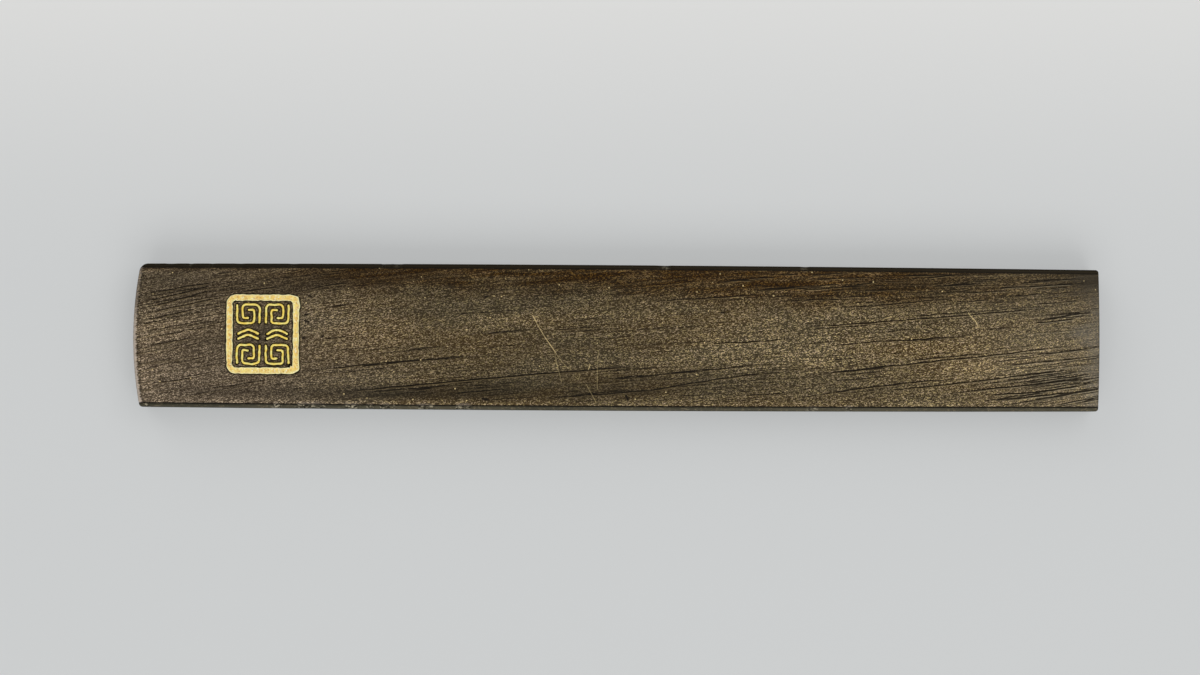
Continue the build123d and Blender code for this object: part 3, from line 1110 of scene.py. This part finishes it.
def face_material():
    """Brown patina over cast grain with painted glints, amber with painted shade at the far edge,
    greyer at the mouth.
    """
    s = Shader("grained_patina")
    at = s.millimetres()
    grain = grain_coordinates(s, at)
    x, y, _ = s.parts(at)
    blotch = s.noise(s.stretch(grain, 0.07, 0.3), 1, 3)
    streak = s.noise(s.stretch(grain, 0.16, 1.9), 1, 4, 0.6)
    hair = s.noise(s.stretch(grain, 0.13, 6.5), 1, 2, 0.45)
    dash, hue, _ = s.cells(s.stretch(grain, 7, 22), 1)
    point, _, _ = s.cells(s.stretch(grain, 12, 22), 1)
    clump = s.noise(s.stretch(grain, 1.4, 3.2), 1, 5, 0.8)
    wavering = s.times(s.math("SUBTRACT", blotch, 0.5), 12)
    mouth = s.fit(s.math("ADD", x, wavering), 46.4, 48.6)

    # Brown patina, pinker at the butt and greyer at the mouth
    s.colour = s.blend(s.fit(blotch, 0.36, 0.64), (80, 63, 36), (75, 66, 47))
    rose = s.times(s.fit(x, -14, -44), s.fit(y, 3, -6, 0.5, 0.9))
    s.lay(rose, (92, 79, 65))
    thin = s.fit(streak, 0.44, 0.66)
    s.lay(s.times(thin, 0.3), (54, 42, 25))
    near_mouth = s.fit(x, 32, 46, 0, 0.5)
    s.lay(near_mouth, (101, 92, 75))
    s.lay(s.times(mouth, 0.85), (108, 101, 88))

    # Painted glints: bright specks standing in for light caught by facets of the cast grain, fewer
    # where the patina is dark; and dark specks of the grain
    glint_strength = s.times(
        s.fit(clump, 0.34, 0.64, 0.9, 1),
        s.fit(thin, 0, 1, 1, 0.85),
        s.fit(mouth, 0, 1, 0.72, 0.4),
        s.fit(x, 34, 44, 1, 0.8),
        s.fit(s.mark("tone"), 0.25, 0.52, 0.3, 1),
    )
    # Colours of the painted glints
    bright = s.blend(s.fit(hue, 0.3, 0.7), (244, 218, 152), (240, 212, 172))
    bright = s.blend(rose, bright, (236, 212, 180))
    painted_glint = s.times(s.most(s.fit(dash, 0.76, 0.98), s.fit(point, 0.84, 0.98)), glint_strength)
    s.lay(painted_glint, bright)
    shade = s.most(s.fit(dash, 0.3, 0.05), s.fit(point, 0.22, 0))
    shade = s.times(shade, s.fit(mouth, 0, 1, 0.55, 0.36))
    s.lay(shade, (22, 15, 4))
    # Amber patina with painted shade, darkening the upper edge and most of all its rim
    amber_and_shade_tint = s.times(s.mark("amber_and_shade"), s.fit(streak, 0.35, 0.6, 0.6, 1))
    s.lay(amber_and_shade_tint, (152, 124, 62), "MULTIPLY")

    # Cuts of the grain, and painted highlights on the ridges beside them
    combed = s.mark("combed")
    long_cut, long_ridge_highlight = strands(s, grain, 0.11, 1.4, 0.07)
    short_cut, short_ridge_highlight = strands(s, grain, 0.18, 2.6, 0.055)
    short = s.times(combed, combed)
    cut = s.most(
        s.times(long_cut, combed),
        s.times(short_cut, short),
        s.times(s.fit(hair, 0.57, 0.65), s.times(combed, 0.35)),
        s.fit(s.mark("grain_depth"), 0.12, 0.42, 0, 0.95),
    )
    # Painted highlights on the ridges and burrs beside the cuts
    burr_highlight = s.times(s.most(s.times(long_ridge_highlight, combed), s.times(short_ridge_highlight, short)), 0.5)
    burr_highlight = s.most(burr_highlight, s.fit(s.mark("burr"), 0.2, 0.7, 0, 0.6))
    s.lay(burr_highlight, s.blend(near_mouth, (134, 116, 82), (170, 164, 146)))
    s.lay(cut, (22, 16, 7))
    s.colour = s.vector("SCALE", s.colour, scale=s.times(s.mark("tone"), 2))

    # The plain upright faces at its two ends
    normals = s.node("TexCoord").outputs["Normal"]
    steep = s.fit(s.parts(normals)[2], 0.55, 0.3)
    s.lay(steep, s.blend(s.fit(clump, 0.35, 0.65), (58, 52, 38), (82, 73, 54)))

    # Painted shade in the grooves beside the gold, dirt in the seams and pits, wear and scratches
    pits = s.fit(gap_to(s, at, PITS), 0.06, 0.16, 0.9, 0)
    dark = s.most(s.times(s.mark("shade_beside_gold"), 0.9), s.mark("seam"), pits)
    s.lay(dark, (16, 12, 8))
    # Bright worn edges and knocks, with a painted highlight along the lower part of the butt's edge
    worn = s.times(s.mark("worn"), s.fit(clump, 0.4, 0.6, 0.7, 1), s.fit(steep, 0, 1, 1, 0.35))
    s.lay(worn, (200, 185, 170))
    scratch = s.fit(gap_to(s, at, SCRATCHES), 0, 0.055, 1, 0)
    faint = s.fit(gap_to(s, at, FAINT_SCRATCHES), 0, 0.05, 0.36, 0)
    scratch = s.times(s.most(scratch, faint), s.fit(clump, 0.35, 0.6, 0.55, 1))
    rare, _, off_rare = s.cells(at, 2.6)
    fleck = s.times(s.fit(rare, 0.965, 0.97), s.fit(off_rare, 0.1, 0.22, 1, 0))
    s.lay(s.most(scratch, fleck), (236, 212, 152))

    height = s.math("ADD", s.times(dash, 0.6), s.times(hair, -1.2))
    normal = s.bump(height, 0.25, 0.03)
    rough = s.math("SUBTRACT", 0.6, s.times(painted_glint, 0.25))
    return s.finish(metallic=0.45, roughness=rough, normal=normal, specular_ior_level=0.15)


def side_material():
    """The same patina, smooth: file marks along the handle, dirt in the seam, bright knocks, and
    painted shade along the upper rim.
    """
    s = Shader("smooth_patina")
    at = s.millimetres()
    _, y, z = s.parts(at)
    blotch = s.noise(s.stretch(at, 0.12, 0.5, 0.5), 1, 4)
    drawn = s.noise(s.stretch(at, 0.4, 12, 12), 1, 3, 0.6)
    speck, _, _ = s.cells(s.stretch(at, 5, 9, 9), 1)
    s.colour = s.blend(s.fit(blotch, 0.35, 0.65), (68, 65, 52), (84, 79, 63))
    s.lay(s.fit(drawn, 0.5, 0.75, 0, 0.6), (48, 43, 32))
    s.lay(s.fit(speck, 0.8, 1, 0, 0.4), (136, 122, 96))
    # Painted shade: the upper rim darkened, on the side turned from the key light
    upper_rim_shade = s.times(s.fit(y, 6.4, 6.8), s.fit(z, 4.5, 4.8))
    s.lay(upper_rim_shade, (36, 29, 16))
    worn = s.mark("worn")
    s.lay(s.times(worn, s.fit(speck, 0.5, 0.3)), (24, 19, 12))
    s.lay(s.times(worn, s.fit(speck, 0.65, 0.8)), (170, 160, 136))
    s.lay(s.mark("seam"), (16, 12, 8))
    normal = s.bump(drawn, 0.35, 0.012)
    rough = s.fit(blotch, 0.3, 0.7, 0.36, 0.52)
    return s.finish(metallic=0.6, roughness=rough, normal=normal, specular_ior_level=0.2)


def gold_sheet_material():
    """Matt hammered gold with a fine scatter of pits, burnished pale along its rims."""
    s = Shader("gold_sheet")
    at = s.millimetres()
    broad = s.noise(at, 1.3, 3)
    pits, specks, _ = s.cells(at, 8)
    s.colour = s.blend(s.fit(broad, 0.35, 0.65), (255, 214, 112), (255, 231, 134))
    s.lay(s.fit(pits, 0.6, 1, 0, 0.8), (218, 160, 84))
    s.lay(s.fit(specks, 0.7, 1, 0, 0.8), (255, 250, 214))
    s.lay(s.mark("burnished"), (255, 245, 184))
    normal = s.bump(pits, 0.5, 0.012)
    return s.finish(metallic=0.42, roughness=0.42, normal=normal)


def gold_wire_material():
    """Bright yellow gold wire."""
    s = Shader("gold_wire")
    at = s.millimetres()
    broad = s.noise(at, 2.5, 3)
    s.colour = s.blend(s.fit(broad, 0.35, 0.65), (255, 220, 92), (255, 240, 140))
    normal = s.bump(s.noise(at, 8, 3), 0.4, 0.012)
    return s.finish(metallic=0.15, roughness=0.3, normal=normal)


def solder_material():
    """Dull silver solder."""
    s = Shader("silver_solder")
    at = s.millimetres()
    s.colour = s.blend(s.noise(at, 2, 4), (120, 114, 102), (172, 168, 158))
    normal = s.bump(s.noise(at, 3, 4), 0.6, 0.05)
    return s.finish(metallic=0.9, roughness=0.45, normal=normal)


def floor_material():
    """Plain pale grey, lit a little from within so that shadows on it stay soft, with painted
    shade: the glow dimmer round the handle and on the near side, brighter on the far side.
    """
    s = Shader("pale_floor")
    at = s.node("TexCoord").outputs["Object"]
    _, y, _ = s.parts(at)
    # Painted shade: the glow dimmer round the handle and on the near side
    glow_with_painted_shade = s.blend(s.fit(y, 0.004, 0.056), (173, 175, 176), (210, 208, 205))
    s.colour = tint(160, 161, 160)
    return s.finish(roughness=0.9, emission_color=glow_with_painted_shade, emission_strength=0.73)


# ---- Making the pieces

face_plate(face_material())
side = side_material()
channel(side)
butt_cap(side)
mouth_end(side)
seal_border(gold_sheet_material())
wire_gold = gold_wire_material()
for number in range(1, len(WIRES) + 1):
    seal_wire(number, wire_gold)
solder = solder_material()
for name in ("butt_solder_bead", "mouth_solder_bead", "upper_solder_bead", "lower_solder_bead"):
    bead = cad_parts[name]
    bead.material_slots[0].link = "OBJECT"
    bead.material_slots[0].material = solder

# ---- Floor, light and camera


FLOOR_SIZE = 4.0


def floor(size):
    """A level floor that the handle lies on."""
    mesh = bpy.data.meshes.new("floor")
    half = size / 2
    corners = [(-half, -half, 0), (half, -half, 0), (half, half, 0), (-half, half, 0)]
    mesh.from_pydata(corners, [], [(0, 1, 2, 3)])
    mesh.materials.append(floor_material())
    ground = bpy.data.objects.new("floor", mesh)
    bpy.context.scene.collection.objects.link(ground)


def soft_light(name, place, size, power, colour=(1, 1, 1)):
    """A rectangular soft light aimed at the handle, itself unseen."""
    data = bpy.data.lights.new(name, "AREA")
    data.shape, data.size, data.size_y = "RECTANGLE", *size
    data.energy, data.color = power, colour
    lamp = bpy.data.objects.new(name, data)
    lamp.location = place
    lamp.rotation_euler = (-Vector(place)).to_track_quat("-Z", "Y").to_euler()
    lamp.visible_camera = False
    bpy.context.scene.collection.objects.link(lamp)


def studio():
    """Even light from all round, a broad key over the near side and a weaker fill behind."""
    world = bpy.data.worlds.new("studio")
    world.use_nodes = True
    sky = world.node_tree.nodes["Background"]
    sky.inputs["Color"].default_value = (0.8, 0.81, 0.82, 1)
    sky.inputs["Strength"].default_value = 0.42
    bpy.context.scene.world = world
    soft_light("key", (0.05, -0.45, 0.6), (0.7, 0.5), 2.2)
    soft_light("top", (0.25, 0.2, 0.8), (0.6, 0.6), 1.5)
    soft_light("fill", (-0.4, 0.5, 0.5), (0.5, 0.5), 0.8)


LENS, SENSOR = 100.0, 36.0
VIEW_WIDTH, AIM = 120.38, (-1.65, 0.012)
TILT, ROLL = math.radians(1.5), math.radians(0.345)


def camera():
    """Looks straight down on the face, leaning back a little so the near side just shows."""
    data = bpy.data.cameras.new("camera")
    data.lens, data.sensor_width = LENS, SENSOR
    data.clip_start, data.clip_end = 0.01, 10
    turn = Euler((TILT, 0, ROLL))
    away = turn.to_matrix() @ Vector((0, 0, 1))
    distance = VIEW_WIDTH * LENS / SENSOR
    aim = Vector((*AIM, float(CROWN)))
    eye = bpy.data.objects.new("camera", data)
    eye.location = (aim + away * distance) * MM
    eye.rotation_euler = turn
    bpy.context.scene.collection.objects.link(eye)
    bpy.context.scene.camera = eye


floor(FLOOR_SIZE)
studio()
camera()
bpy.context.scene.view_settings.view_transform = "Standard"
